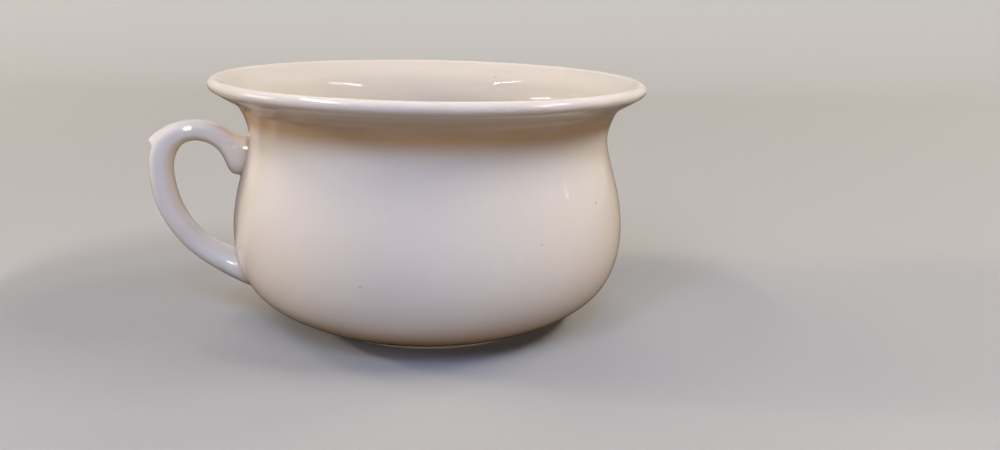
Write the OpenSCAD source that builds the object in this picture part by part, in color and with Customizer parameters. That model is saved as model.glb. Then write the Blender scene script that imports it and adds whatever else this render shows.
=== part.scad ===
// Chamber pot: a squat round bowl with an out-turned rolled rim, one loop
// handle with a thumb spur, and a low foot ring. Millimetres, +Z up.
// Origin: centre of the standing plane under the foot, on the bowl's axis.
// The handle points along -X.

/* [Bowl] */
// Diameter over the rolled rim
rim_d = 229; // [222:1:238]
// Diameter of the belly at its widest
belly_d = 211.6; // [208:0.2:214]
// Height of the widest part of the belly
belly_z = 49; // [46:0.5:52]
// Diameter of the neck at its narrowest
neck_d = 191.2; // [188:0.2:194]
// Height of the narrowest part of the neck
neck_z = 100.5; // [99:0.5:101.5]
// Wall thickness
wall_t = 6; // [5:0.25:7]
// Thickness of the floor
floor_t = 6.5; // [5.5:0.25:8]

/* [Rim] */
// Height of the lip bead
roll_h = 6.4; // [5.6:0.2:7.2]
// Radial depth of the lip bead
roll_w = 7.2; // [6.4:0.2:8]

/* [Foot] */
// Outer diameter of the foot ring
foot_d = 134; // [128:1:140]
// Width of the foot ring's face
foot_w = 9; // [7:0.5:12]
// Height of the foot ring
foot_h = 3; // [2.5:0.25:4]
// How far the underside rises inside the foot ring
recess = 1.6; // [0.5:0.1:2]

/* [Handle] */
// Factor on the handle's width
grip_k = 1; // [0.85:0.05:1.15]
// Thickness of the layer of slip under each end of the handle
slip_t = 1; // [0.7:0.1:1.4]
// How far the slip stands out around each end of the handle
slip_out = 0.9; // [0.6:0.1:1.4]
// How far the thumb spur stands out of the shoulder
spur_out = 3.4; // [2.6:0.2:4]

/* [Hidden] */
$fn = 120;

rim_r = rim_d / 2;
belly_r = belly_d / 2;
neck_r = neck_d / 2;
foot_r = foot_d / 2;

cream = [0.90, 0.86, 0.78];
biscuit = [0.80, 0.73, 0.62];
slip_c = [0.86, 0.81, 0.71];

// ---- curve helpers ----------------------------------------------------
// Tangent of a point list at point i, weighted by the two chord lengths.
function chord(p, i) = norm(p[i + 1] - p[i]);
function tang(p, i) =
    i == 0 ? (p[1] - p[0]) / chord(p, 0) :
    i == len(p) - 1 ? (p[i] - p[i - 1]) / chord(p, i - 1) :
    let (a = chord(p, i - 1), b = chord(p, i))
    ((p[i] - p[i - 1]) / a * b + (p[i + 1] - p[i]) / b * a) / (a + b);
function hermite(p, i, t) =
    let (l = chord(p, i), a = tang(p, i) * l, b = tang(p, i + 1) * l)
    p[i] * (2 * t ^ 3 - 3 * t ^ 2 + 1) + a * (t ^ 3 - 2 * t ^ 2 + t)
    + p[i + 1] * (3 * t ^ 2 - 2 * t ^ 3) + b * (t ^ 3 - t ^ 2);
// The smooth line through a point list, with n steps between points.
function smooth(p, n) = concat(
    [for (i = [0:len(p) - 2]) for (k = [0:n - 1]) hermite(p, i, k / n)],
    [p[len(p) - 1]]);
function unit(v) = v / norm(v);
// The line moved to its left by d.
function side(p, d) = [for (i = [0:len(p) - 1])
    let (u = unit(p[min(i + 1, len(p) - 1)] - p[max(i - 1, 0)]))
    p[i] + d * [-u[1], u[0]]];

// ---- bowl profile, [radius, height], from the foot up to the lip -------
// Lower belly: fraction of the rise and fraction of the swell.
belly_rise = [[0, 0], [0.045, 0.18], [0.13, 0.39], [0.24, 0.605],
              [0.37, 0.775], [0.54, 0.895], [0.76, 0.975], [1, 1]];
// Shoulder: the swell falls off towards the neck.
shoulder_n = 6;
function fall(t) = (1 - t ^ 2) ^ 1.7;
// Neck and flange: radial and vertical step from the neck's narrowest point.
flare = [[0.3, 3], [1.5, 8], [3.2, 12], [4.7, 15], [7.2, 17.3], [11.4, 19.8],
         [15.4, 22.1]];
stations = concat(
    [for (q = belly_rise) [foot_r + (belly_r - foot_r) * q[1],
                           foot_h + (belly_z - foot_h) * q[0]]],
    [for (i = [1:shoulder_n]) let (t = i / shoulder_n)
        [neck_r + (belly_r - neck_r) * fall(t),
         belly_z + (neck_z - belly_z) * t]],
    [for (q = flare) [neck_r + q[0] * (rim_r - neck_r) / 19.4, neck_z + q[1]]]);
outer = smooth(stations, 3);
inner = side(outer, wall_t);
n_out = len(outer);
lip_a = outer[n_out - 1];
lip_b = inner[n_out - 1];
floor_z = foot_h + floor_t;
// The inside wall, from just above the floor upwards.
wall_in = [for (q = inner) if (q[1] > floor_z + 1) q];

// A solid of the bowl's outer shape, grown by d.
module core(d) {
    g = side(outer, -d);
    rotate_extrude()
        polygon(concat([[0, foot_h]], g, [[0, g[n_out - 1][1]]]));
}

module bowl() {
    color(cream) rotate_extrude()
        polygon(concat(
            [[0, foot_h + recess], [foot_r - foot_w - 6, foot_h + recess],
             [foot_r - foot_w, foot_h]],
            outer,
            [for (i = [len(wall_in) - 1:-1:0]) wall_in[i]],
            [[wall_in[0][0] - 4, floor_z], [0, floor_z]]));
}

// ---- rolled lip: a bead that closes the flange's edge ------------------
roll_c = [rim_r - roll_w / 2, lip_a[1] + 0.9 + roll_h / 2];
function on_roll(a) = roll_c + [roll_w / 2 * cos(a), roll_h / 2 * sin(a)];
module rim_roll() {
    color(cream) rotate_extrude()
        polygon(concat([lip_b, lip_a], [for (a = [-75:15:105]) on_roll(a)]));
}

// ---- foot ring ---------------------------------------------------------
module foot_ring() {
    e = 0.7;
    color(biscuit) rotate_extrude()
        polygon([[foot_r - foot_w, foot_h], [foot_r - foot_w + 1, e],
                 [foot_r - foot_w + 1 + e, 0], [foot_r - 0.6 - e, 0],
                 [foot_r - 0.6, e], [foot_r, foot_h]]);
}

// ---- handle: ribs across the strap -------------------------------------
// Each rib: outer edge [reach, height], inner edge [reach, height], half width.
ribs = [
    [88, 100, 90, 78, 12],
    [97, 100, 102.2, 79, 12],
    [101, 100, 105.2, 80.4, 11.2],
    [106, 103, 108, 86.4, 10.4],
    [112, 105.8, 111.8, 93, 9.8],
    [122, 107.6, 121.5, 97.2, 9.5],
    [132, 105.8, 128, 95.2, 9.5],
    [139.6, 100.6, 131, 91.4, 9.5],
    [143.8, 92.5, 132.8, 86.5, 9.5],
    [145, 80, 133.2, 80, 9.5],
    [143, 66, 131.4, 68.5, 9.5],
    [137.5, 53, 126.8, 57, 9.8],
    [128.5, 40.5, 119.4, 47.2, 10.4],
    [116, 30.2, 110, 40.8, 12],
    [104.6, 22.8, 103.8, 38.8, 14],
    [96.4, 18.6, 98, 38.3, 15],
    [86, 15, 90, 38, 15.5]];
n_rib = len(ribs);
sides = 24;
// Fullness of the strap's section at its outer and its inner face: 2 is an
// ellipse, more is squarer.
full_out = 3;
full_in = 2;
function pw(v, a) = sign(v) * abs(v) ^
    (2 / (full_in + (full_out - full_in) * (1 + cos(a)) / 2));
function rib(t) = let (i = min(floor(t), n_rib - 2), f = t - i,
    a = ribs[max(i - 1, 0)], b = ribs[i], c = ribs[i + 1],
    d = ribs[min(i + 2, n_rib - 1)])
    0.5 * (2 * b + (c - a) * f + (2 * a - 5 * b + 4 * c - d) * f ^ 2
           + (3 * b - a - 3 * c + d) * f ^ 3);
function rib_ring(t, g) =
    let (q = rib(t), o = [q[0], q[1]], i = [q[2], q[3]],
         m = (o + i) / 2, v = (o - i) / 2, s = 1 + g / norm(v),
         h = q[4] * grip_k + g)
    [for (k = [0:sides - 1]) let (a = 360 * k / sides)
        [-(m[0] + v[0] * s * pw(cos(a), a)), h * pw(sin(a), a),
         m[1] + v[1] * s * pw(cos(a), a)]];
// The strap from rib t0 to rib t1, in steps of 1/n, grown by g all round.
module strap(t0, t1, n, g = 0) {
    m = round((t1 - t0) * n);
    rings = [for (k = [0:m]) rib_ring(t0 + k / n, g)];
    polyhedron(
        points = [for (r = rings) for (p = r) p],
        faces = concat(
            [[for (k = [0:sides - 1]) k]],
            [[for (k = [sides - 1:-1:0]) m * sides + k]],
            [for (i = [0:m - 1]) for (k = [0:sides - 1]) let (j = (k + 1) % sides)
                [i * sides + k, (i + 1) * sides + k, (i + 1) * sides + j]],
            [for (i = [0:m - 1]) for (k = [0:sides - 1]) let (j = (k + 1) % sides)
                [i * sides + k, (i + 1) * sides + j, i * sides + j]]));
}

module handle() {
    color(cream) difference() {
        strap(0, n_rib - 1, 4);
        core(slip_t);
    }
}

// ---- thumb spur: a small pointed tongue on the shoulder ----------------
module thumb_spur() {
    color(cream) difference() {
        hull() {
            translate([-131, 0, 102.8]) sphere(r = 3.6, $fn = 32);
            translate([-137.5, 0, 99.4]) sphere(r = 3.6, $fn = 32);
            for (s = [-1, 1])
                translate([-136.8, s * 5, 100.1]) sphere(r = 2.2, $fn = 32);
            translate([-141.3 - spur_out * 0.72, 0, 97.4 + spur_out * 0.3])
                sphere(r = 1, $fn = 32);
            translate([-140.6, 0, 94]) sphere(r = 2, $fn = 32);
        }
        strap(5, 9, 4);
    }
}

// ---- slip joints: thin pads between the handle's ends and the wall -----
module pad(t0, t1) {
    difference() {
        intersection() {
            strap(t0, t1, 4, slip_out);
            core(slip_t);
        }
        core(0);
    }
}
module upper_slip_joint() { color(slip_c) pad(0, 2); }
module lower_slip_joint() { color(slip_c) pad(13, n_rib - 1); }

bowl();
rim_roll();
foot_ring();
handle();
thumb_spur();
upper_slip_joint();
lower_slip_joint();
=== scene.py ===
import math

import bpy
import bmesh
import numpy as np
from mathutils import Matrix, Vector


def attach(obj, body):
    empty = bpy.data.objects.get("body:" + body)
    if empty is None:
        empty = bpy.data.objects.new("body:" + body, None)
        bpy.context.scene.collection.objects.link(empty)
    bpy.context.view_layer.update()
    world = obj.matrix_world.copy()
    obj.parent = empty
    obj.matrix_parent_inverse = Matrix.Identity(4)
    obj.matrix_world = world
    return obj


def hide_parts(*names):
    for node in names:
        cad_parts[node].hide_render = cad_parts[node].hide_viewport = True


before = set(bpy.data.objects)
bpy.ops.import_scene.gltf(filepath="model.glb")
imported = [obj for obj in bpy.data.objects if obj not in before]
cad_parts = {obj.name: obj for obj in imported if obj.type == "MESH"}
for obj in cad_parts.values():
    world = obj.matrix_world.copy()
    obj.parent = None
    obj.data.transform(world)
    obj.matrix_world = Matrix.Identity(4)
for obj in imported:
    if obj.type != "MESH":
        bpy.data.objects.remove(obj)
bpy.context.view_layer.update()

MM = 0.001
TURN = math.radians(-10.0)  # the studio is turned this far against the part's frame

# ---------------------------------------------------------------- sizes, mm
RIM_R, BELLY_R, BELLY_Z, NECK_R, NECK_Z = 114.5, 105.8, 49.0, 95.6, 100.5
FOOT_R, FOOT_W, FOOT_H, RECESS = 67.0, 9.0, 3.0, 1.6
WALL, FLOOR = 6.0, 6.5
ROLL_H, ROLL_W = 6.4, 7.2
BELLY_RISE = [(0, 0), (0.045, 0.18), (0.13, 0.39), (0.24, 0.605),
              (0.37, 0.775), (0.54, 0.895), (0.76, 0.975), (1, 1)]
FLARE = [(0.3, 3), (1.5, 8), (3.2, 12), (4.7, 15), (7.2, 17.3), (11.4, 19.8),
         (15.4, 22.1)]
# outer edge (reach, height), inner edge (reach, height), half width
RIBS = np.array([
    (88, 100, 90, 78, 12), (97, 100, 102.2, 79, 12),
    (101, 100, 105.2, 80.4, 11.2), (106, 103, 108, 86.4, 10.4),
    (112, 105.8, 111.8, 93, 9.8), (122, 107.6, 121.5, 97.2, 9.5),
    (132, 105.8, 128, 95.2, 9.5), (139.6, 100.6, 131, 91.4, 9.5),
    (143.8, 92.5, 132.8, 86.5, 9.5), (144.9, 80, 133.2, 80, 9.5),
    (143, 66, 131.4, 68.5, 9.5), (137.5, 53, 126.8, 57, 9.8),
    (128.5, 40.5, 119.4, 47.2, 10.4), (116, 30.2, 110, 40.8, 12),
    (104.6, 22.8, 103.8, 38.8, 14), (96.4, 18.6, 98, 38.3, 15),
    (86, 15, 90, 38, 15.5)], float)


# ---------------------------------------------------------------- curves
def step(a, b, x):
    t = np.clip((np.asarray(x, float) - a) / (b - a), 0, 1)
    return t * t * (3 - 2 * t)


def stations():
    s = [(FOOT_R + (BELLY_R - FOOT_R) * b, FOOT_H + (BELLY_Z - FOOT_H) * a)
         for a, b in BELLY_RISE]
    for i in range(1, 7):
        t = i / 6
        s.append((NECK_R + (BELLY_R - NECK_R) * (1 - t * t) ** 1.7,
                  BELLY_Z + (NECK_Z - BELLY_Z) * t))
    for a, b in FLARE:
        s.append((NECK_R + a * (RIM_R - NECK_R) / 19.4, NECK_Z + b))
    return np.array(s)


def flow(p, n):
    """The smooth line through the points, tangents weighted by chord length."""
    c = np.linalg.norm(np.diff(p, axis=0), axis=1)
    d = np.diff(p, axis=0) / c[:, None]
    tg = np.empty_like(p)
    tg[0], tg[-1] = d[0], d[-1]
    a, b = c[:-1, None], c[1:, None]
    tg[1:-1] = (d[:-1] * b + d[1:] * a) / (a + b)
    t = np.linspace(0, 1, n, endpoint=False)[:, None]
    out = [p[i] * (2 * t ** 3 - 3 * t ** 2 + 1) + tg[i] * c[i] * (t ** 3 - 2 * t ** 2 + t)
           + p[i + 1] * (3 * t ** 2 - 2 * t ** 3) + tg[i + 1] * c[i] * (t ** 3 - t ** 2)
           for i in range(len(p) - 1)]
    return np.vstack(out + [p[-1:]])


def length(p):
    return np.r_[0, np.cumsum(np.linalg.norm(np.diff(p, axis=0), axis=1))]


def even(p, gap):
    s = length(p)
    q = np.linspace(0, s[-1], max(2, int(round(s[-1] / gap)) + 1))
    return np.c_[np.interp(q, s, p[:, 0]), np.interp(q, s, p[:, 1])], q


def left_of(p, d):
    u = np.gradient(p, axis=0)
    u /= np.linalg.norm(u, axis=1)[:, None]
    return p + d * np.c_[-u[:, 1], u[:, 0]]


def soften(p, s, width):
    """A low pass along the line, of changing width, that keeps its size and its ends."""
    at = np.r_[-s[1:][::-1], s, 2 * s[-1] - s[:-1][::-1]]

    def once(v):
        w = np.vstack([2 * v[0] - v[1:][::-1], v, 2 * v[-1] - v[:-1][::-1]])
        out = v.copy()
        for i in np.where(width > 1e-6)[0]:
            a, b = np.searchsorted(at, [s[i] - 4 * width[i], s[i] + 4 * width[i]])
            k = np.exp(-0.5 * ((at[a:b] - s[i]) / width[i]) ** 2)
            out[i] = (k[:, None] * w[a:b]).sum(0) / k.sum()
        return out

    one = once(p)
    return 2 * one - once(one)


def bowl_outline():
    """One line from the foot joint up the outside, over the rolled lip and down the inside to the
    middle of the floor, with the places where the lip's bead begins and ends."""
    o, _ = even(flow(stations(), 24), 0.2)
    i = left_of(o, WALL)
    a, b = o[-1], i[-1]
    c = np.array([RIM_R - ROLL_W / 2, a[1] + 0.9 + ROLL_H / 2])
    g = np.radians(np.arange(-75, 105.1, 3))
    bead = np.c_[c[0] + ROLL_W / 2 * np.cos(g), c[1] + ROLL_H / 2 * np.sin(g)]
    fz = FOOT_H + FLOOR
    inside = i[i[:, 1] > fz + 1][::-1]
    q, s = even(np.vstack([o, bead, inside, [[inside[-1][0] - 4, fz], [0, fz]]]), 0.2)
    ia = int(np.argmin(np.linalg.norm(q - a, axis=1)))
    ib = int(np.argmin(np.linalg.norm(q - b, axis=1)))
    k, z = np.arange(len(q)), q[:, 1]
    w = np.interp(k, [ia, ia + 30, ib - 20, ib], [0.6, 0.6, 1.2, 1.8])
    w[k <= ia] = np.interp(z, [3, 6, 14, 30, 108, 113, 116, 119, 123],
                           [0.6, 2, 4, 5, 4, 2.2, 1.4, 1.6, 1.0])[k <= ia]
    w[k >= ib] = np.interp(z, [9.5, 11, 20, 40, 105, 113, 118, 124, 128],
                           [3, 3.5, 5, 5, 5, 3.5, 3, 2.4, 1.8])[k >= ib]
    ker = np.exp(-0.5 * (np.arange(-40, 41) / 15) ** 2)
    w = np.convolve(np.pad(w, 40, "edge"), ker / ker.sum(), "valid")
    w *= np.clip(s / 6, 0, 1) ** 0.7 * np.clip((s[-1] - s) / 10, 0, 1)
    return soften(q, s, w), s, ia, ib


LINE, LINE_S, LIP_A, LIP_B = bowl_outline()
OUTER = LINE[:LIP_A + 1]
_slope = np.gradient(OUTER[:, 0], OUTER[:, 1])


def wall_r(z):
    return np.interp(z, OUTER[:, 1], OUTER[:, 0])


def wall_gap(p):
    """Distance outside the bowl's outer wall, to first order."""
    r, z = np.hypot(p[..., 0], p[..., 1]), p[..., 2]
    return (r - wall_r(z)) / np.sqrt(1 + np.interp(z, OUTER[:, 1], _slope) ** 2)


def wall_normal(p):
    r = np.hypot(p[..., 0], p[..., 1])
    k = np.interp(p[..., 2], OUTER[:, 1], _slope)
    n = np.stack([p[..., 0] / r, p[..., 1] / r, -k], -1)
    return n / np.linalg.norm(n, axis=-1, keepdims=True)


def on_wall(p):
    r = np.hypot(p[..., 0], p[..., 1])
    k = wall_r(p[..., 2]) / r
    return np.stack([p[..., 0] * k, p[..., 1] * k, p[..., 2]], -1)


def hand(r, z, th):
    """The small unevenness of a hand-finished pot: the wall only ever goes inwards."""
    up = step(8, 40, z)
    a = 0.10 * (1 + np.cos(2 * th + 0.9)) / 2 * up
    b = 0.035 * (1 + np.sin(3 * th + 0.045 * z + 1.1)) / 2 * up
    c = 0.022 * (1 + np.sin(7 * th - 0.11 * z)) / 2 * up
    d = 0.014 * (1 + np.sin(12 * th + 0.19 * z + 2.0)) / 2 * up
    top = 0.12 * (1 + np.cos(2 * th - 0.6)) / 2 * step(95, 128, z)
    return np.maximum(r - (a + b + c + d) * np.clip(r / 60, 0, 1), 0), z - top


# ---------------------------------------------------------------- meshes
def make(name, verts, faces, marks=None, sharp=()):
    me = bpy.data.meshes.new(name)
    me.from_pydata((np.asarray(verts) * MM).tolist(), [], faces)
    bm = bmesh.new()
    bm.from_mesh(me)
    bmesh.ops.recalc_face_normals(bm, faces=bm.faces)
    bm.to_mesh(me)
    bm.free()
    me.polygons.foreach_set("use_smooth", np.ones(len(me.polygons), bool))
    if len(sharp):
        want = {tuple(sorted(e)) for e in sharp}
        for e in me.edges:
            if tuple(sorted(e.vertices)) in want:
                e.use_edge_sharp = True
    for key, values in (marks or {}).items():
        at = me.attributes.new(key, "FLOAT", "POINT")
        at.data.foreach_set("value", np.ascontiguousarray(values, np.float32))
    me.update()
    ob = bpy.data.objects.new(name, me)
    bpy.context.scene.collection.objects.link(ob)
    return ob


def turned(name, prof, segs, loop=False, corners=(), marks=None):
    """Turns a line of (radius, height) about Z. A line that starts or ends on the axis closes in a
    point there; a loop closes on itself. Corners are the points of the line that stay sharp."""
    prof = np.asarray(prof, float)
    th = np.linspace(0, 2 * math.pi, segs, endpoint=False)
    verts, rows = [], []
    for r, z in prof:
        if r < 1e-6:
            rows.append(np.array([len(verts)]))
            verts.append((0.0, 0.0, z))
        else:
            rr, zz = hand(np.full(segs, r), np.full(segs, z), th)
            rows.append(np.arange(segs) + len(verts))
            verts.extend(np.c_[rr * np.cos(th), rr * np.sin(th), zz].tolist())
    faces = []
    n = len(prof)
    for k in range(n if loop else n - 1):
        a, b = rows[k], rows[(k + 1) % n]
        for j in range(segs):
            i = (j + 1) % segs
            if len(a) == 1:
                faces.append((a[0], b[j], b[i]))
            elif len(b) == 1:
                faces.append((a[j], b[0], a[i]))
            else:
                faces.append((a[j], b[j], b[i], a[i]))
    sharp = [(rows[k][j], rows[k][(j + 1) % segs]) for k in corners for j in range(segs)]
    given = {key: np.concatenate([np.full(len(rows[k]), v[k]) for k in range(n)])
             for key, v in (marks or {}).items()}
    return make(name, verts, [tuple(int(v) for v in f) for f in faces], given,
                [(int(a), int(b)) for a, b in sharp])


def thin_out(a, b, gap):
    """Indices of LINE from a to b, spaced by gap(s), ends kept."""
    i = np.arange(a, b + 1)
    d = np.array([1 / gap(k) for k in i])
    c = np.r_[0, np.cumsum((d[1:] + d[:-1]) / 2 * np.diff(LINE_S[i]))]
    pick = np.interp(np.linspace(0, c[-1], int(round(c[-1])) + 1), c, i)
    return pick


def at_line(pick):
    k = np.arange(len(LINE))
    return np.c_[np.interp(pick, k, LINE[:, 0]), np.interp(pick, k, LINE[:, 1])]


def outer_gap(k):
    z = LINE[k, 1]
    return float(np.interp(z, [3, 4.2, 9, 20, 105, 112, 116, 121, 122.6],
                           [0.25, 0.5, 1.1, 1.6, 1.6, 0.8, 0.6, 0.5, 0.2]))


def inner_gap(k):
    r, z = LINE[k]
    if z < 11:
        return float(np.interp(r, [0, 50, 60, 72], [5, 4, 1.6, 1.2]))
    return float(np.interp(z, [11, 20, 40, 105, 112, 122, 127.8], [1.2, 1.5, 2, 2, 1.2, 0.7, 0.2]))


up_side = at_line(thin_out(0, LIP_A, outer_gap))
down_side = at_line(thin_out(LIP_B, len(LINE) - 1, inner_gap))
down_side[-1, 0] = 0.0
under = np.array([(0, 4.6), (12, 4.6), (26, 4.6), (40, 4.6), (48, 4.58), (51, 4.48), (53.4, 4.2),
                  (55.2, 3.8), (56.8, 3.34), (58, 3.0)])
bowl_line = np.vstack([under, [(62.5, 3.0)], up_side, down_side])
i_foot_in, i_foot_out = len(under) - 1, len(under) + 1
i_lip_a = i_foot_out + len(up_side) - 1
i_lip_b = i_lip_a + 1
n_line = len(bowl_line)
order = np.arange(n_line)
outside = (order >= i_foot_out) & (order <= i_lip_a)
# painted shade: darker at the foot joint, over a wider band near the foot, under the lip and in the turn of the
# neck
crease = np.zeros(n_line)
crease[outside] = (0.45 * np.exp(-((bowl_line[outside, 1] - 3) / 1.6) ** 2)
                   + 0.55 * np.exp(-((bowl_line[outside, 1] - 3) / 6.5) ** 2)
                   + 0.55 * np.exp(-((bowl_line[outside, 1] - 122.9) / 1.3) ** 2)
                   + 0.30 * np.exp(-((bowl_line[outside, 1] - 116.2) / 2.4) ** 2))
inside_foot = order <= i_foot_in
crease[inside_foot] = np.exp(-((58 - bowl_line[inside_foot, 0]) / 2.5) ** 2)
# painted shade: darker and browner in the hollow of the neck, under the lip and above the foot, and darker
# inside the bowl, darkest towards its floor
hollow_shade = np.zeros(n_line)
hollow_shade[outside] = (0.9 * np.exp(-((bowl_line[outside, 1] - 111) / 5.0) ** 2)
                  + 0.5 * np.exp(-((bowl_line[outside, 1] - 118) / 5.0) ** 2)
                  + 0.9 * np.exp(-((bowl_line[outside, 1] - 10) / 9.5) ** 2))
# painted shade inside the bowl, darkest towards its floor
within = order >= i_lip_b
inner_shade = np.zeros(n_line)
inner_shade[within] = 0.8 + 0.2 * np.exp(-((bowl_line[within, 1] - 13) / 7) ** 2)
bowl = turned("pot_bowl", bowl_line, 320, corners=(i_foot_in, i_foot_out, i_lip_a, i_lip_b),
              marks={"crease": np.clip(crease, 0, 1), "root": np.zeros(n_line), "hollow_shade": hollow_shade,
                     "inner_shade": inner_shade})

bead = at_line(np.linspace(LIP_A, LIP_B, 62))
mid = (bead[0] + bead[-1]) / 2
bead_loop = np.vstack([bead, [mid * 0.5 + bead[-1] * 0.5, mid, mid * 0.5 + bead[0] * 0.5]])
bead_s = length(bead)
# painted shade under the lip where the bead meets the flange, and on the bead's inner side
bead_crease = np.r_[0.6 * np.exp(-(bead_s / 0.9) ** 2), 0, 0, 0]
rim_roll = turned("pot_rim_roll", bead_loop, 320, loop=True, corners=(0, len(bead) - 1),
                  marks={"crease": bead_crease, "root": np.zeros(len(bead_loop)),
                         "hollow_shade": np.zeros(len(bead_loop)),
                         "inner_shade": np.r_[0.8 * step(0.62, 1.0, bead_s / bead_s[-1]), 0, 0, 0]})

foot_loop = np.array([
    (58.0, 3.01), (58.35, 2.2), (58.75, 1.3), (59.05, 0.78), (59.4, 0.36), (59.9, 0.1), (60.5, 0.0),
    (61.8, 0.0), (63.2, 0.0), (64.6, 0.0), (65.15, 0.06), (65.65, 0.24), (66.05, 0.55), (66.3, 1.0),
    (66.45, 1.6), (66.58, 2.15), (66.85, 2.62), (67.3, 2.94), (67.9, 3.16), (68.6, 3.42),
    (67.6, 3.2), (64.0, 3.06)])
# painted shade on the upper part of the foot ring, under the belly's overhang
foot_up = np.clip((foot_loop[:, 1] - 1.6) / 1.4, 0, 1)
foot_up[0] = 1.0
foot_ring = turned("pot_foot_ring", foot_loop, 256, loop=True, corners=(0, 19),
                   marks={"crease": foot_up, "root": np.zeros(len(foot_loop)),
                          "hollow_shade": np.zeros(len(foot_loop)), "inner_shade": np.zeros(len(foot_loop))})

# ---------------------------------------------------------------- handle
_edge = (RIBS[:, :2] + RIBS[:, 2:4]) / 2
KNOT = length(_edge)


def bend(knots, v):
    """Second derivatives of the natural cubic line through the ribs."""
    n = len(knots)
    h = np.diff(knots)
    m = np.eye(n)
    rhs = np.zeros((n, v.shape[1]))
    for i in range(1, n - 1):
        m[i, i - 1], m[i, i], m[i, i + 1] = h[i - 1], 2 * (h[i - 1] + h[i]), h[i]
        rhs[i] = 6 * ((v[i + 1] - v[i]) / h[i] - (v[i] - v[i - 1]) / h[i - 1])
    return np.linalg.solve(m, rhs)


CURVE = bend(KNOT, RIBS)


def rib_at(t):
    t = np.clip(t, KNOT[0], KNOT[-1])
    i = np.clip(np.searchsorted(KNOT, t, side="right") - 1, 0, len(KNOT) - 2)
    h = KNOT[i + 1] - KNOT[i]
    a, b = ((KNOT[i + 1] - t) / h)[..., None], ((t - KNOT[i]) / h)[..., None]
    k = (h * h / 6)[..., None]
    return (a * RIBS[i] + b * RIBS[i + 1]
            + ((a ** 3 - a) * CURVE[i] + (b ** 3 - b) * CURVE[i + 1]) * k)


def strap(t, cu, su):
    """A point of the handle: place t along it, cu towards its outer edge and su across it, -1..1."""
    q = rib_at(t)
    m, v = (q[..., :2] + q[..., 2:4]) / 2, (q[..., :2] - q[..., 2:4]) / 2
    p = m + v * cu[..., None]
    return np.stack([-p[..., 0], q[..., 4] * su, p[..., 1]], -1)


SIDES = 112
FULL_OUT, FULL_IN = 3.0, 2.0  # fullness of the section at its outer and its inner face


def section(g):
    """The strap's section at the angle g: towards its outer face and across it, -1..1."""
    e = 2 / (FULL_IN + (FULL_OUT - FULL_IN) * (1 + np.cos(g)) / 2)
    return (np.sign(np.cos(g)) * np.abs(np.cos(g)) ** e, np.sign(np.sin(g)) * np.abs(np.sin(g)) ** e)


# even spacing round the section
_dense = np.linspace(0, 2 * math.pi, 4001)
_sec = section(_dense)
_sl = length(np.c_[5.8 * _sec[0], 9.5 * _sec[1]])
_g = np.interp(np.linspace(0, _sl[-1], SIDES, endpoint=False), _sl, _dense)
CU, SU = section(_g)

tt = np.linspace(KNOT[0], KNOT[-1], 1600)
lines = strap(np.repeat(tt[:, None], SIDES, 1), np.repeat(CU[None], len(tt), 0),
              np.repeat(SU[None], len(tt), 0))
gap = wall_gap(lines)
half = len(tt) // 2


def crossing(level, j, upper):
    """Where line j of the strap leaves the wall's surface raised by level."""
    g = gap[:, j] - level
    if upper:
        k = int(np.where(g[:half] <= 0)[0].max())
        f = g[k] / (g[k] - g[k + 1])
        return tt[k] + f * (tt[k + 1] - tt[k])
    k = int(np.where(g[half:] <= 0)[0].min()) + half
    f = g[k] / (g[k] - g[k - 1])
    return tt[k] + f * (tt[k - 1] - tt[k])


t_in = np.array([[crossing(-2.2, j, True), crossing(-2.2, j, False)] for j in range(SIDES)])
t_on = np.array([[crossing(0.0, j, True), crossing(0.0, j, False)] for j in range(SIDES)])
ALONG = 260
share = np.linspace(0, 1, ALONG)
grid_t = t_in[:, 0][None] + (t_in[:, 1] - t_in[:, 0])[None] * share[:, None]
grid = strap(grid_t, np.repeat(CU[None], ALONG, 0), np.repeat(SU[None], ALONG, 0))


def normals(g):
    """Outward normals of a grid of points whose second direction closes on itself."""
    du = np.gradient(g, axis=0)
    dv = np.roll(g, -1, 1) - np.roll(g, 1, 1)
    n = np.cross(dv, du)
    n /= np.linalg.norm(n, axis=-1, keepdims=True) + 1e-12
    return n


side_n = normals(grid)
mid_line = grid.mean(1, keepdims=True)
if ((grid - mid_line) * side_n).sum(-1).mean() < 0:
    side_n = -side_n
# the faint unevenness of a pressed handle, only ever inwards
wave = (0.5 + 0.5 * np.sin(grid[..., 2] * 0.21 + grid[..., 1] * 0.33 + 0.7)) * 0.07 \
    + (0.5 + 0.5 * np.sin(grid[..., 0] * 0.37 - grid[..., 1] * 0.52)) * 0.04
grid = grid - side_n * wave[..., None]
n_g = ALONG * SIDES
faces = [(k * SIDES + j, (k + 1) * SIDES + j, (k + 1) * SIDES + (j + 1) % SIDES, k * SIDES + (j + 1) % SIDES)
         for k in range(ALONG - 1) for j in range(SIDES)]
faces += [(n_g, j, (j + 1) % SIDES) for j in range(SIDES)]
faces += [(n_g + 1, (ALONG - 1) * SIDES + (j + 1) % SIDES, (ALONG - 1) * SIDES + j) for j in range(SIDES)]
hv = np.vstack([grid.reshape(-1, 3), grid[0].mean(0), grid[-1].mean(0)])
off_wall = np.maximum(wall_gap(grid), 0).reshape(-1)
root = np.r_[np.exp(-(off_wall / 9.0) ** 2), 0, 0]
near = np.r_[np.exp(-(off_wall / 1.6) ** 2), 0, 0]
# painted shade on the handle next to the wall, with glaze gathered in the joint
handle = make("pot_handle", hv, faces, {"crease": 0.8 * near, "root": root, "hollow_shade": 0.3 * near,
                                          "inner_shade": np.zeros(len(hv))})


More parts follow.
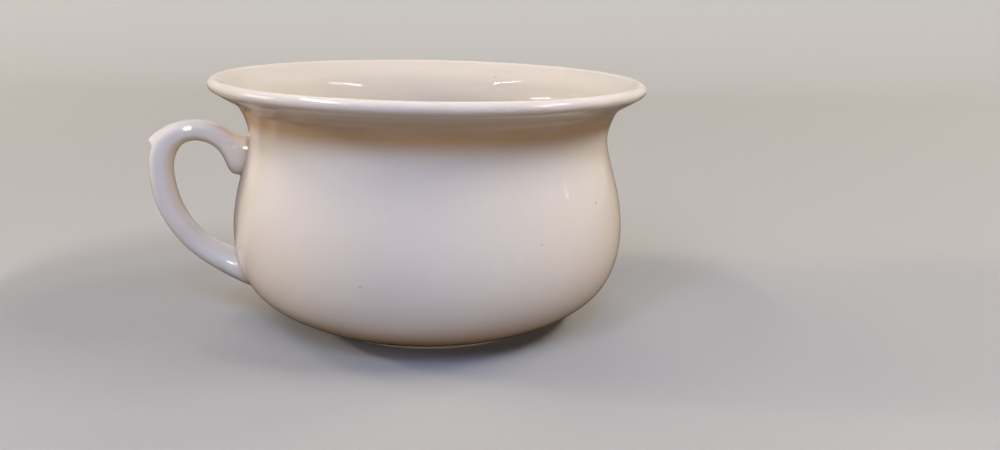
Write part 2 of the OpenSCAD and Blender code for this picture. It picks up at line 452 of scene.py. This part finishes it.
# ---------------------------------------------------------------- slip joints
def slip_ring(name, end):
    """The thin fillet of slip and glaze round one end of the handle."""
    t0 = t_on[:, end]
    sign = 1 if end == 0 else -1
    grow = 0.6 + 0.4 * np.sin(3 * _g + 1.0 + end) ** 2
    up_d = (1.1 if end == 0 else 1.3) * grow
    out_d = (0.9 if end == 0 else 1.2) * grow
    small = 0.4
    near_t = strap(t0 + sign * small, CU, SU)
    here = strap(t0, CU, SU)
    speed = np.linalg.norm(near_t - here, axis=1) / small
    h_t = t0 + sign * up_d / speed
    hi = strap(h_t, CU, SU)
    ring = np.stack([strap(t0 - sign * 0.3, CU, SU), here, strap(t0 + sign * 0.3, CU, SU)])
    nh = normals(ring)[1]
    if ((here - here.mean(0)) * nh).sum(-1).mean() < 0:
        nh = -nh
    nw = wall_normal(here)
    along = nh - (nh * nw).sum(-1, keepdims=True) * nw
    along /= np.linalg.norm(along, axis=-1, keepdims=True)
    for _ in range(3):
        along = (np.roll(along, 1, 0) + 2 * along + np.roll(along, -1, 0)) / 4
    along /= np.linalg.norm(along, axis=-1, keepdims=True)
    lo = on_wall(here + along * out_d[:, None])
    nl = wall_normal(lo)
    hi = hi - nh * 0.1
    lo = lo - nl * 0.06
    s = np.linspace(0, 1, 9)[:, None, None]
    skin = (1 - s) ** 2 * hi + 2 * s * (1 - s) * here + s * s * lo
    back = np.stack([lo - nl * 0.7, here - nw * 0.8 - nh * 0.8, hi - nh * 0.7])
    rows = np.concatenate([skin, back])
    m = len(rows)
    fc = [(k * SIDES + j, k * SIDES + (j + 1) % SIDES,
           ((k + 1) % m) * SIDES + (j + 1) % SIDES, ((k + 1) % m) * SIDES + j)
          for k in range(m) for j in range(SIDES)]
    # darkest along the middle of the fillet: the joint line of gathered slip, with painted shade
    dark = np.r_[1 - 0.7 * np.abs(np.linspace(-1, 1, 9)), 0, 0, 0]
    return make(name, rows.reshape(-1, 3), fc,
                {"crease": np.repeat(dark, SIDES), "root": np.repeat(np.r_[np.ones(9), 0, 0, 0], SIDES),
                 "hollow_shade": np.repeat(0.4 * dark, SIDES), "inner_shade": np.zeros(m * SIDES)},
                sharp=[(k * SIDES + j, k * SIDES + (j + 1) % SIDES) for k in (0, 8) for j in range(SIDES)])


upper_slip = slip_ring("pot_upper_slip_joint", 0)
lower_slip = slip_ring("pot_lower_slip_joint", 1)

# ---------------------------------------------------------------- thumb spur
NU, NV = 120, 61
RIDGE = np.array([(126.0, 107.5), (130.5, 106.75), (133.5, 105.75), (135.9, 104.65), (138.4, 103.15),
                  (140.9, 101.35), (143.0, 99.55), (144.1, 98.5), (144.6, 97.7), (144.4, 96.7),
                  (143.95, 95.5), (143.7, 94.2), (143.68, 92.8), (143.85, 91.2)])  # the crest: reach, height
outer_t = np.linspace(KNOT[4], KNOT[9], 4000)
outer_p = strap(outer_t, np.ones(4000), np.zeros(4000))
outer_p = np.c_[-outer_p[:, 0], outer_p[:, 2]]
outer_d = np.gradient(outer_p, axis=0)
outer_d /= np.linalg.norm(outer_d, axis=1)[:, None]
crest, _ = even(flow(RIDGE, 12), 0.1)
k = np.argmin(((crest[:, None] - outer_p[None, ::4]) ** 2).sum(-1), 1) * 4
crest_t = np.maximum.accumulate(outer_t[k]) + np.arange(len(k)) * 1e-7
crest_h = ((crest - outer_p[k]) * np.c_[-outer_d[k, 1], outer_d[k, 0]]).sum(1)
u = np.linspace(0, 1, NU)
tu = np.interp(u, [0, 1], [crest_t[0], crest_t[-1]])
height = np.maximum(np.interp(tu, crest_t, crest_h), 0)
height *= step(0, 0.25, u) * (1 - step(0.965, 1.0, u))
ker = np.exp(-0.5 * (np.arange(-5, 6) / 1.3) ** 2)
height = np.convolve(np.pad(height, 5, "edge"), ker / ker.sum(), "valid")
wide = np.interp(u, [0, 0.45, 0.8, 1], [7.6, 8.2, 7.6, 6.6])
v = np.linspace(-1, 1, NV)
across = wide[:, None] * v[None]
q = across / rib_at(tu)[:, 4][:, None]
_half = np.linspace(-math.pi / 2, math.pi / 2, 2001)
_out, _over = section(_half)
patch = strap(np.repeat(tu[:, None], NV, 1), np.interp(q, _over, _out), q)
du, dv = np.gradient(patch, axis=0), np.gradient(patch, axis=1)
pn = np.cross(du, dv)
pn /= np.linalg.norm(pn, axis=-1, keepdims=True)
if (pn[..., 0] * -1 + pn[..., 2]).mean() < 0:
    pn = -pn
keel = 0.09  # roundness of the crest
brow = (1 - (np.hypot(v, keel) - keel) / (math.hypot(1, keel) - keel)) ** 1.7
lift = (height[:, None] + 0.12) * brow[None] - 0.24
top = patch + pn * lift[..., None]
low = patch - pn * 0.9
sv = np.vstack([top.reshape(-1, 3), low.reshape(-1, 3)])
N2 = NU * NV
faces = [(i * NV + j, (i + 1) * NV + j, (i + 1) * NV + j + 1, i * NV + j + 1)
         for i in range(NU - 1) for j in range(NV - 1)]
faces += [(N2 + i * NV + j, N2 + i * NV + j + 1, N2 + (i + 1) * NV + j + 1, N2 + (i + 1) * NV + j)
          for i in range(NU - 1) for j in range(NV - 1)]
loop = [(0, j) for j in range(NV)] + [(i, NV - 1) for i in range(1, NU)] \
    + [(NU - 1, j) for j in range(NV - 2, -1, -1)] + [(i, 0) for i in range(NU - 2, 0, -1)]
ids = [i * NV + j for i, j in loop]
faces += [(ids[k], ids[(k + 1) % len(ids)], N2 + ids[(k + 1) % len(ids)], N2 + ids[k]) for k in range(len(ids))]
# painted shade along the spur's sides where it meets the handle
edge = np.clip(1 - np.abs(lift) / 0.35, 0, 1)
spur = make("pot_thumb_spur", sv, faces,
            {"crease": np.r_[0.35 * edge.reshape(-1), np.zeros(N2)], "root": np.zeros(2 * N2),
             "hollow_shade": np.zeros(2 * N2), "inner_shade": np.zeros(2 * N2)},
            sharp=[(ids[k], ids[(k + 1) % len(ids)]) for k in range(len(ids))])


# ---------------------------------------------------------------- materials
def tree(name):
    m = bpy.data.materials.new(name)
    m.use_nodes = True
    nt = m.node_tree
    nt.nodes.clear()
    out = nt.nodes.new("ShaderNodeOutputMaterial")
    bs = nt.nodes.new("ShaderNodeBsdfPrincipled")
    nt.links.new(bs.outputs["BSDF"], out.inputs["Surface"])
    co = nt.nodes.new("ShaderNodeTexCoord")
    return m, nt, bs, co.outputs["Object"]


def noise(nt, co, scale, detail=2.0, rough=0.5, stretch=None):
    if stretch:
        mp = nt.nodes.new("ShaderNodeMapping")
        mp.inputs["Scale"].default_value = stretch
        nt.links.new(co, mp.inputs["Vector"])
        co = mp.outputs["Vector"]
    n = nt.nodes.new("ShaderNodeTexNoise")
    n.inputs["Scale"].default_value = scale
    n.inputs["Detail"].default_value = detail
    n.inputs["Roughness"].default_value = rough
    nt.links.new(co, n.inputs["Vector"])
    return n.outputs["Fac"]


def ramp(nt, value, a, b, lo=0.0, hi=1.0, smooth=False):
    m = nt.nodes.new("ShaderNodeMapRange")
    if smooth:
        m.interpolation_type = "SMOOTHSTEP"
    nt.links.new(value, m.inputs["Value"])
    m.inputs["From Min"].default_value, m.inputs["From Max"].default_value = a, b
    m.inputs["To Min"].default_value, m.inputs["To Max"].default_value = lo, hi
    return m.outputs["Result"]


def calc(nt, kind, a, b):
    m = nt.nodes.new("ShaderNodeMath")
    m.operation = kind
    for i, x in enumerate((a, b)):
        if isinstance(x, (int, float)):
            m.inputs[i].default_value = x
        else:
            nt.links.new(x, m.inputs[i])
    return m.outputs[0]


def blend(nt, fac, a, b):
    m = nt.nodes.new("ShaderNodeMix")
    m.data_type = "RGBA"
    m.clamp_factor = True
    nt.links.new(fac, m.inputs[0])
    for i, x in ((6, a), (7, b)):
        if isinstance(x, tuple):
            m.inputs[i].default_value = (*x, 1.0)
        else:
            nt.links.new(x, m.inputs[i])
    return m.outputs[2]


def mark(nt, name):
    a = nt.nodes.new("ShaderNodeAttribute")
    a.attribute_name = name
    return a.outputs["Fac"]


def spot(nt, co, place, r):
    """1 inside a small round spot on the surface."""
    d = nt.nodes.new("ShaderNodeVectorMath")
    d.operation = "DISTANCE"
    nt.links.new(co, d.inputs[0])
    d.inputs[1].default_value = [x * MM for x in place]
    return ramp(nt, d.outputs["Value"], r * MM, r * 0.45 * MM, 0.0, 1.0, True)


def bump(nt, height, distance, strength, under=None):
    b = nt.nodes.new("ShaderNodeBump")
    b.inputs["Distance"].default_value = distance
    b.inputs["Strength"].default_value = strength
    nt.links.new(height, b.inputs["Height"])
    if under is not None:
        nt.links.new(under, b.inputs["Normal"])
    return b.outputs["Normal"]


SPECKS = [((69.0, -74.7, 75.3), 0.75, 0.75), ((34.3, -98.9, 62.6), 0.7, 0.30),
          ((-48.3, -94.0, 45.7), 0.9, 0.28), ((-90.3, -32.1, 103.1), 0.8, 0.25),
          ((-94.2, -16.7, 101.3), 0.65, 0.9), ((55.7, 80.3, 121.5), 0.7, 0.5)]


def glaze(name, cream, warm, pool_and_shade, pool_and_shade_amount=0.45, bare=False):
    m, nt, bs, co = tree(name)
    big = noise(nt, co, 16, 3, 0.55)
    mid = noise(nt, co, 62, 4, 0.6)
    fine = noise(nt, co, 420, 2, 0.5)
    col = blend(nt, ramp(nt, big, 0.36, 0.66, 0, 0.8, True), cream, warm)
    # faint cloudiness of the glaze
    cloud = tuple(min(1.0, x * 1.035) for x in cream)
    col = blend(nt, ramp(nt, mid, 0.5, 0.72, 0, 0.45, True), col, cloud)
    # painted shade: darker and yellower-brown under the lip, in the neck, above the foot and next to the joints
    hollow_shade_amount = calc(nt, "MULTIPLY", mark(nt, "hollow_shade"), ramp(nt, mid, 0.3, 0.7, 0.8, 1.0))
    col = blend(nt, hollow_shade_amount, col, HOLLOW_SHADE)
    # painted shade inside the bowl and on the inner side of the lip
    inner_shade_amount = calc(nt, "MULTIPLY", mark(nt, "inner_shade"), ramp(nt, big, 0.3, 0.7, 0.85, 1.0))
    col = blend(nt, inner_shade_amount, col, INNER_SHADE)
    # darker and browner in creases, round the joints and near the foot: glaze gathered along the joint lines,
    # painted shade elsewhere
    cr = mark(nt, "crease")
    broken = calc(nt, "MULTIPLY", cr, ramp(nt, mid, 0.3, 0.65, 0.55, 1.0))
    col = blend(nt, calc(nt, "MULTIPLY", broken, pool_and_shade_amount), col, pool_and_shade)
    # fine iron specks, sparse
    vo = nt.nodes.new("ShaderNodeTexVoronoi")
    vo.inputs["Scale"].default_value = 48
    nt.links.new(co, vo.inputs["Vector"])
    sep = nt.nodes.new("ShaderNodeSeparateColor")
    nt.links.new(vo.outputs["Color"], sep.inputs["Color"])
    chosen = ramp(nt, sep.outputs["Red"], 0.86, 0.90, 0, 1)
    dot = ramp(nt, vo.outputs["Distance"], 0.022, 0.008, 0, 0.5, True)
    col = blend(nt, calc(nt, "MULTIPLY", chosen, dot), col, (0.30, 0.20, 0.12))
    for place, r, k in SPECKS:
        f = calc(nt, "MULTIPLY", spot(nt, co, place, r), k)
        col = blend(nt, f, col, (0.12, 0.075, 0.045))
    # glossy, with faint smears where it was handled
    rough = ramp(nt, mid, 0.3, 0.75, 0.015, 0.04)
    rough = calc(nt, "ADD", rough, ramp(nt, big, 0.52, 0.72, 0.0, 0.025, True))
    # slow waves, orange peel, and the worked surface next to the joints
    ro = mark(nt, "root")
    nrm = bump(nt, noise(nt, co, 38, 1, 0.4), 0.00006, 0.5)
    lump = noise(nt, co, 380, 2, 0.5)
    nrm = bump(nt, calc(nt, "MULTIPLY", lump, ro), 0.0006, 0.7, nrm)
    nrm = bump(nt, fine, 0.00002, 0.5, nrm)
    if bare:
        # the standing edge is wiped and worn to the bare body
        xyz = nt.nodes.new("ShaderNodeSeparateXYZ")
        nt.links.new(co, xyz.inputs[0])
        ragged = calc(nt, "ADD", xyz.outputs["Z"], ramp(nt, mid, 0.3, 0.7, -0.00028, 0.00028))
        wiped = ramp(nt, ragged, 0.00075, 0.00035, 0, 1, True)
        grit = noise(nt, co, 800, 3, 0.6)
        body = blend(nt, ramp(nt, grit, 0.35, 0.7), (0.50, 0.40, 0.28), (0.66, 0.56, 0.42))
        body = blend(nt, ramp(nt, mid, 0.55, 0.75, 0, 0.5), body, (0.28, 0.24, 0.19))
        col = blend(nt, wiped, col, body)
        rough = calc(nt, "ADD", rough, calc(nt, "MULTIPLY", wiped, 0.72))
        nrm = bump(nt, calc(nt, "MULTIPLY", grit, wiped), 0.0002, 0.6, nrm)
    nt.links.new(col, bs.inputs["Base Color"])
    nt.links.new(rough, bs.inputs["Roughness"])
    nt.links.new(nrm, bs.inputs["Normal"])
    bs.inputs["IOR"].default_value = 1.52
    return m


# colours: cream, its warmer tone, and the brown of painted shade in creases with glaze gathered at the joints;
# then the colours of painted shade in the hollows and inside the bowl
CREAM, WARM, POOL_AND_SHADE = (0.805, 0.728, 0.605), (0.790, 0.698, 0.560), (0.40, 0.29, 0.18)
HOLLOW_SHADE, INNER_SHADE = (0.65, 0.43, 0.22), (0.62, 0.552, 0.436)
m_glaze = glaze("cream_glaze", CREAM, WARM, POOL_AND_SHADE)
m_slip = glaze("pooled_and_shaded_slip_glaze", (0.78, 0.695, 0.57), (0.755, 0.66, 0.525), POOL_AND_SHADE, 0.6)
m_foot = glaze("foot_glaze_and_biscuit", (0.70, 0.55, 0.38), (0.66, 0.50, 0.33), POOL_AND_SHADE, 0.75, True)

for ob, node, slot, mat in (
        (bowl, "bowl", "glaze", m_glaze), (rim_roll, "rim_roll", "glaze", m_glaze),
        (foot_ring, "foot_ring", "foot_biscuit", m_foot), (handle, "handle", "glaze", m_glaze),
        (spur, "thumb_spur", "glaze", m_glaze),
        (upper_slip, "upper_slip_joint", "slip_glaze", m_slip),
        (lower_slip, "lower_slip_joint", "slip_glaze", m_slip)):
    ob.data.materials.append(mat)
    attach(ob, "root")
    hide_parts(node)

# ---------------------------------------------------------------- studio
SPIN = Matrix.Rotation(TURN, 4, "Z")


def studio(x, y, z):
    return SPIN @ Vector((x, y, z))


def sheet(name, at, faces, smooth, colour, glow):
    """Studio paper. Its far parts, which the lamps don't reach, glow a little and so stay pale."""
    me = bpy.data.meshes.new(name)
    me.from_pydata([tuple(studio(*p)) for p in at], [], faces)
    me.polygons.foreach_set("use_smooth", np.full(len(faces), smooth))
    ob = bpy.data.objects.new(name, me)
    bpy.context.scene.collection.objects.link(ob)
    mat, nt, bs, co = tree(name)
    bs.inputs["Base Color"].default_value = (*colour, 1)
    bs.inputs["Roughness"].default_value = 0.8
    bs.inputs["Emission Color"].default_value = (0.62, 0.61, 0.58, 1)
    bs.inputs["Emission Strength"].default_value = 0.0
    if glow:
        away = nt.nodes.new("ShaderNodeVectorMath")
        away.operation = "LENGTH"
        nt.links.new(co, away.inputs[0])
        nt.links.new(ramp(nt, away.outputs["Value"], 0.4, 3.5, 0.0, glow, True), bs.inputs["Emission Strength"])
    me.materials.append(mat)
    return ob


def paper(name, line, colour, glow=0.0):
    """A wide sheet along a line of (depth, height)."""
    return sheet(name, [(x, y, z) for y, z in line for x in (-30.0, 30.0)],
                 [(2 * k, 2 * k + 1, 2 * k + 3, 2 * k + 2) for k in range(len(line) - 1)], True, colour, glow)


sweep = [(-30.0, 0.0), (1.1, 0.0)]
sweep += [(1.1 + 0.9 * math.sin(a), 0.9 - 0.9 * math.cos(a)) for a in np.radians(np.arange(5, 90, 5))]
sweep += [(2.0, 0.9), (2.0, 6.0)]
PALE = (0.43, 0.43, 0.408)
floor = paper("studio_floor", sweep[:2], PALE, 0.6)
backdrop = paper("studio_backdrop", sweep[1:], PALE, 0.6)
# walls which close the view from the sides and from behind
ends = [(-5.0, 2.0), (-5.0, -5.0), (5.0, -5.0), (5.0, 2.0)]
walls = sheet("studio_walls", [(*ends[i + j], z) for i in range(3)
                               for j, z in ((0, 0.0), (1, 0.0), (1, 6.0), (0, 6.0))],
              [(4 * i, 4 * i + 1, 4 * i + 2, 4 * i + 3) for i in range(3)], False, PALE, 0.6)
# The pale paper would light the pot from below and wash out the shade under its rim. So the pale paper
# throws no light back, and a dark sheet that doesn't show in the picture does that in its place.
for ob in (floor, walls):
    ob.visible_diffuse = ob.visible_glossy = ob.visible_shadow = False
backdrop.visible_diffuse = backdrop.visible_shadow = False
under_sheet = paper("studio_dark_sheet", [(-4.0, -0.0004), (2.0, -0.0004)], (0.128, 0.098, 0.068))
under_sheet.visible_camera = False


def lamp(name, place, aim, size, watts, colour, glint=False, along=(0, 1, 0), only=()):
    """A flat studio lamp. Most are soft: they light the pot and have no outline of their own in the glaze.
    A glint lamp is the other way round: it is only seen mirrored in the glaze, or in that of some pieces."""
    l = bpy.data.lights.new(name, "AREA")
    l.shape = "RECTANGLE"
    l.size, l.size_y = size
    l.energy = watts
    l.color = colour
    ob = bpy.data.objects.new(name, l)
    ob.visible_camera, ob.visible_diffuse, ob.visible_glossy = False, not glint, glint
    bpy.context.scene.collection.objects.link(ob)
    if only:
        group = bpy.data.collections.new(name)
        for piece in only:
            group.objects.link(piece)
        ob.light_linking.receiver_collection = group
    p, t = studio(*place), studio(*aim)
    z = (p - t).normalized()
    x = studio(*along).cross(z).normalized()
    y = z.cross(x)
    ob.matrix_world = Matrix(((x.x, y.x, z.x, p.x), (x.y, y.y, z.y, p.y), (x.z, y.z, z.z, p.z), (0, 0, 0, 1)))
    return ob


def around(turn, rise, away):
    """A place round the pot: degrees to the right of the camera, degrees up, metres away."""
    a, e = math.radians(turn), math.radians(rise)
    return (away * math.cos(e) * math.sin(a), -away * math.cos(e) * math.cos(a), 0.07 + away * math.sin(e))


WHITE, WARM_LIGHT, COOL_LIGHT = (1.0, 0.95, 0.90), (1.0, 0.82, 0.58), (0.31, 0.51, 1.0)
MID = (0, 0, 0.07)
LIP, LOOP = (rim_roll,), (handle, spur, upper_slip, lower_slip)
LAMPS = [
    # the short thin glints inside the bowl and on the belly
    ("glint_right", (1.46, -0.36, 1.52), MID, (0.024, 0.93), 3.8, WHITE, True, (0.12, 0.92, 0.10)),
    ("glint_left", (-0.97, -0.13, 1.64), MID, (0.024, 0.95), 3.9, WHITE, True, (0.10, 0.81, 0.14)),
    ("glint_far_left", around(-93, 25, 2.4), MID, (0.03, 0.75), 3.2, WHITE, True),
    ("glint_front", around(-6.5, 42, 2.6), MID, (0.85, 0.05), 0.9, WHITE, True),
    ("glint_front_left", around(-41, 37, 2.6), MID, (0.5, 0.05), 0.6, WHITE, True),
    ("glint_low_right", around(87, 9.5, 2.4), MID, (0.06, 0.03), 0.05, WHITE, True),
    # broader ones for the tight curves of the lip and the handle
    ("lip_left", (-1.12, -0.23, 1.47), MID, (0.13, 1.45), 15, WHITE, True, (0.22, 1.54, 0.42), LIP),
    ("lip_far_left", around(-97, 21, 2.2), MID, (0.3, 0.8), 6, WHITE, True, (0, 1, 0), LIP),
    ("lip_right", around(65, 29, 2.2), MID, (0.12, 0.95), 11, WHITE, True, (0.41, 1.0, 0.40), LIP),
    ("handle_high", (-0.1, -0.35, 1.97), MID, (0.10, 1.8), 12, WHITE, True, (1, -0.2, 0), LOOP),
    ("handle_front", around(-9, 42, 2.4), MID, (0.28, 1.5), 54, (1.0, 0.92, 0.81), True, (0, 1, 0), LOOP),
    # soft light from both sides, high
    ("right_high", (1.46, -0.36, 1.52), MID, (0.05, 0.93), 22, (1.0, 0.92, 0.88)),
    ("left_high", (-0.97, -0.15, 1.64), MID, (0.05, 0.83), 4.5, (1.0, 0.88, 0.74)),
    ("far_left", around(-90, 25, 2.4), MID, (0.1, 0.4), 6, WHITE),
    # cool soft light from the front
    ("front", around(-1, 46, 3.0), MID, (1.0, 0.6), 27, COOL_LIGHT),
    ("front_left_high", around(-35, 46, 3.0), MID, (1.0, 0.6), 17, (0.70, 0.71, 0.93)),
    ("front_left_low", around(-35, 30, 3.0), MID, (1.0, 0.6), 18, (0.69, 0.70, 0.95)),
    ("front_low", around(0, 9, 3.0), MID, (5.0, 0.8), 17, (0.87, 0.86, 1.0)),
    # soft light from both sides, low
    ("front_right_low", around(50, 7, 3.0), MID, (0.8, 0.5), 8.5, (0.90, 0.87, 1.0)),
    ("right_low", around(87, 12, 2.3), MID, (0.5, 0.3), 1.5, (0.92, 0.89, 1.0)),
    ("left_low", around(-98, 21, 2.4), MID, (0.1, 0.2), 18, (1.0, 0.86, 0.64)),
    # warm soft light from behind
    ("back_right_low", around(110, 20, 2.6), MID, (1.0, 0.8), 2.5, WARM_LIGHT),
    ("back_left_high", around(-110, 45, 2.4), MID, (0.5, 0.5), 8, WARM_LIGHT),
    ("back_right_high", around(110, 45, 2.4), MID, (0.5, 0.5), 11.5, WARM_LIGHT),
    ("back", around(180, 30, 2.6), MID, (1.6, 0.8), 15, WHITE),
]
for spec in LAMPS:
    lamp(*spec)

world = bpy.data.worlds.new("studio_air")
world.use_nodes = True
bg = world.node_tree.nodes["Background"]
bg.inputs["Color"].default_value = (1.0, 0.90, 0.78, 1)
bg.inputs["Strength"].default_value = 0.02
bpy.context.scene.world = world
bpy.context.scene.view_settings.view_transform = "Standard"
bpy.context.scene.view_settings.look = "None"

# ---------------------------------------------------------------- camera
PAN, PITCH, ROLL = 0.0843, 0.2654, -0.02597
fw = Vector((math.sin(PAN) * math.cos(PITCH), math.cos(PAN) * math.cos(PITCH), -math.sin(PITCH)))
rt = Vector((math.cos(PAN), -math.sin(PAN), 0.0))
dn = fw.cross(rt)
rx = math.cos(ROLL) * rt + math.sin(ROLL) * dn
dx = -math.sin(ROLL) * rt + math.cos(ROLL) * dn
eye = Vector((0.0, -0.462479, 0.173213))
cd = bpy.data.cameras.new("camera")
cd.sensor_fit = "HORIZONTAL"
cd.sensor_width = 36.0
cd.lens = 30.6
cd.clip_start, cd.clip_end = 0.02, 50
cam = bpy.data.objects.new("camera", cd)
bpy.context.scene.collection.objects.link(cam)
cam.matrix_world = SPIN @ Matrix(((rx.x, -dx.x, -fw.x, eye.x), (rx.y, -dx.y, -fw.y, eye.y),
                                  (rx.z, -dx.z, -fw.z, eye.z), (0, 0, 0, 1)))
bpy.context.scene.camera = cam

bpy.context.view_layer.update()
